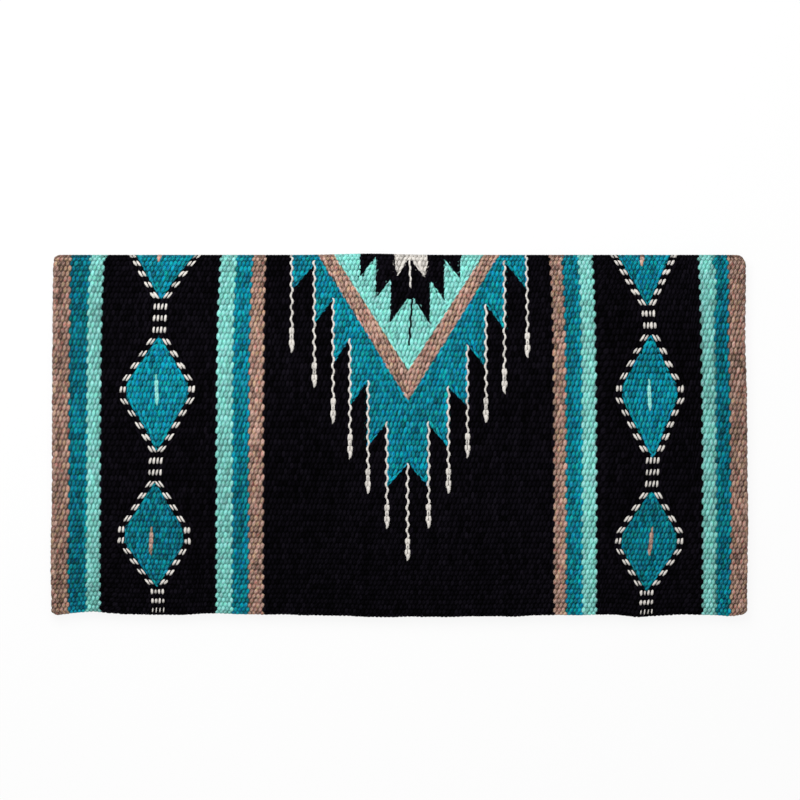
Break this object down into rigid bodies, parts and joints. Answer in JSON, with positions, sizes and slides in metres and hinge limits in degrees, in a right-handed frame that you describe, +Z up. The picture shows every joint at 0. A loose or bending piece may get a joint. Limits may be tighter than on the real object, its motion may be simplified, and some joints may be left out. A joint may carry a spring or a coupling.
{
  "type": "saddle blanket",
  "caption": "Wool saddle blanket, tapestry woven with stripes, chained diamonds and a serrated medallion, folded in half along the spine; it opens flat at the fold.",
  "frame": {"origin": "on the surface the folded blanket lies on, under the middle of its outline", "axes": "+X along the spine fold, +Y from the hems towards the spine fold, +Z up from the off side to the near side"},
  "size_m": [0.87, 0.452, 0.0166],
  "materials": {
    "taupe_wool": "matte spun wool",
    "teal_wool": "matte spun wool",
    "aqua_wool": "matte spun wool",
    "black_wool": "matte spun wool",
    "white_wool": "matte spun wool"
  },
  "bodies": {
    "off_side": {"off_left_end_taupe": "taupe_wool", "off_left_end_teal": "teal_wool", "off_left_end_aqua": "aqua_wool", "off_left_panel_outer": "black_wool", "off_left_panel_inner": "black_wool", "off_left_beaded_chain": "white_wool", "off_left_fold_diamond": "teal_wool", "off_left_upper_diamond": "teal_wool", "off_left_lower_diamond": "teal_wool", "off_left_inner_aqua": "aqua_wool", "off_left_inner_teal": "teal_wool", "off_left_inner_taupe": "taupe_wool", "off_centre_field": "black_wool", "off_serrated_ground": "teal_wool", "off_chevron_band": "taupe_wool", "off_aqua_ground": "aqua_wool", "off_feather": "black_wool", "off_white_core": "white_wool", "off_right_end_taupe": "taupe_wool", "off_right_end_teal": "teal_wool", "off_right_end_aqua": "aqua_wool", "off_right_panel_outer": "black_wool", "off_right_panel_inner": "black_wool", "off_right_beaded_chain": "white_wool", "off_right_fold_diamond": "teal_wool", "off_right_upper_diamond": "teal_wool", "off_right_lower_diamond": "teal_wool", "off_right_inner_aqua": "aqua_wool", "off_right_inner_teal": "teal_wool", "off_right_inner_taupe": "taupe_wool"},
    "near_side": {"near_left_end_taupe": "taupe_wool", "near_left_end_teal": "teal_wool", "near_left_end_aqua": "aqua_wool", "near_left_panel_outer": "black_wool", "near_left_panel_inner": "black_wool", "near_left_beaded_chain": "white_wool", "near_left_fold_diamond": "teal_wool", "near_left_upper_diamond": "teal_wool", "near_left_lower_diamond": "teal_wool", "near_left_inner_aqua": "aqua_wool", "near_left_inner_teal": "teal_wool", "near_left_inner_taupe": "taupe_wool", "near_centre_field": "black_wool", "near_serrated_ground": "teal_wool", "near_chevron_band": "taupe_wool", "near_aqua_ground": "aqua_wool", "near_feather": "black_wool", "near_white_core": "white_wool", "near_right_end_taupe": "taupe_wool", "near_right_end_teal": "teal_wool", "near_right_end_aqua": "aqua_wool", "near_right_panel_outer": "black_wool", "near_right_panel_inner": "black_wool", "near_right_beaded_chain": "white_wool", "near_right_fold_diamond": "teal_wool", "near_right_upper_diamond": "teal_wool", "near_right_lower_diamond": "teal_wool", "near_right_inner_aqua": "aqua_wool", "near_right_inner_teal": "teal_wool", "near_right_inner_taupe": "taupe_wool"}
  },
  "joints": [
    {"name": "spine_fold", "type": "hinge", "parent": "off_side", "child": "near_side", "pos_m": [0, 0.2263, 0.0083], "axis": [-1, 0, 0], "range_deg": [0, 180]}
  ]
}
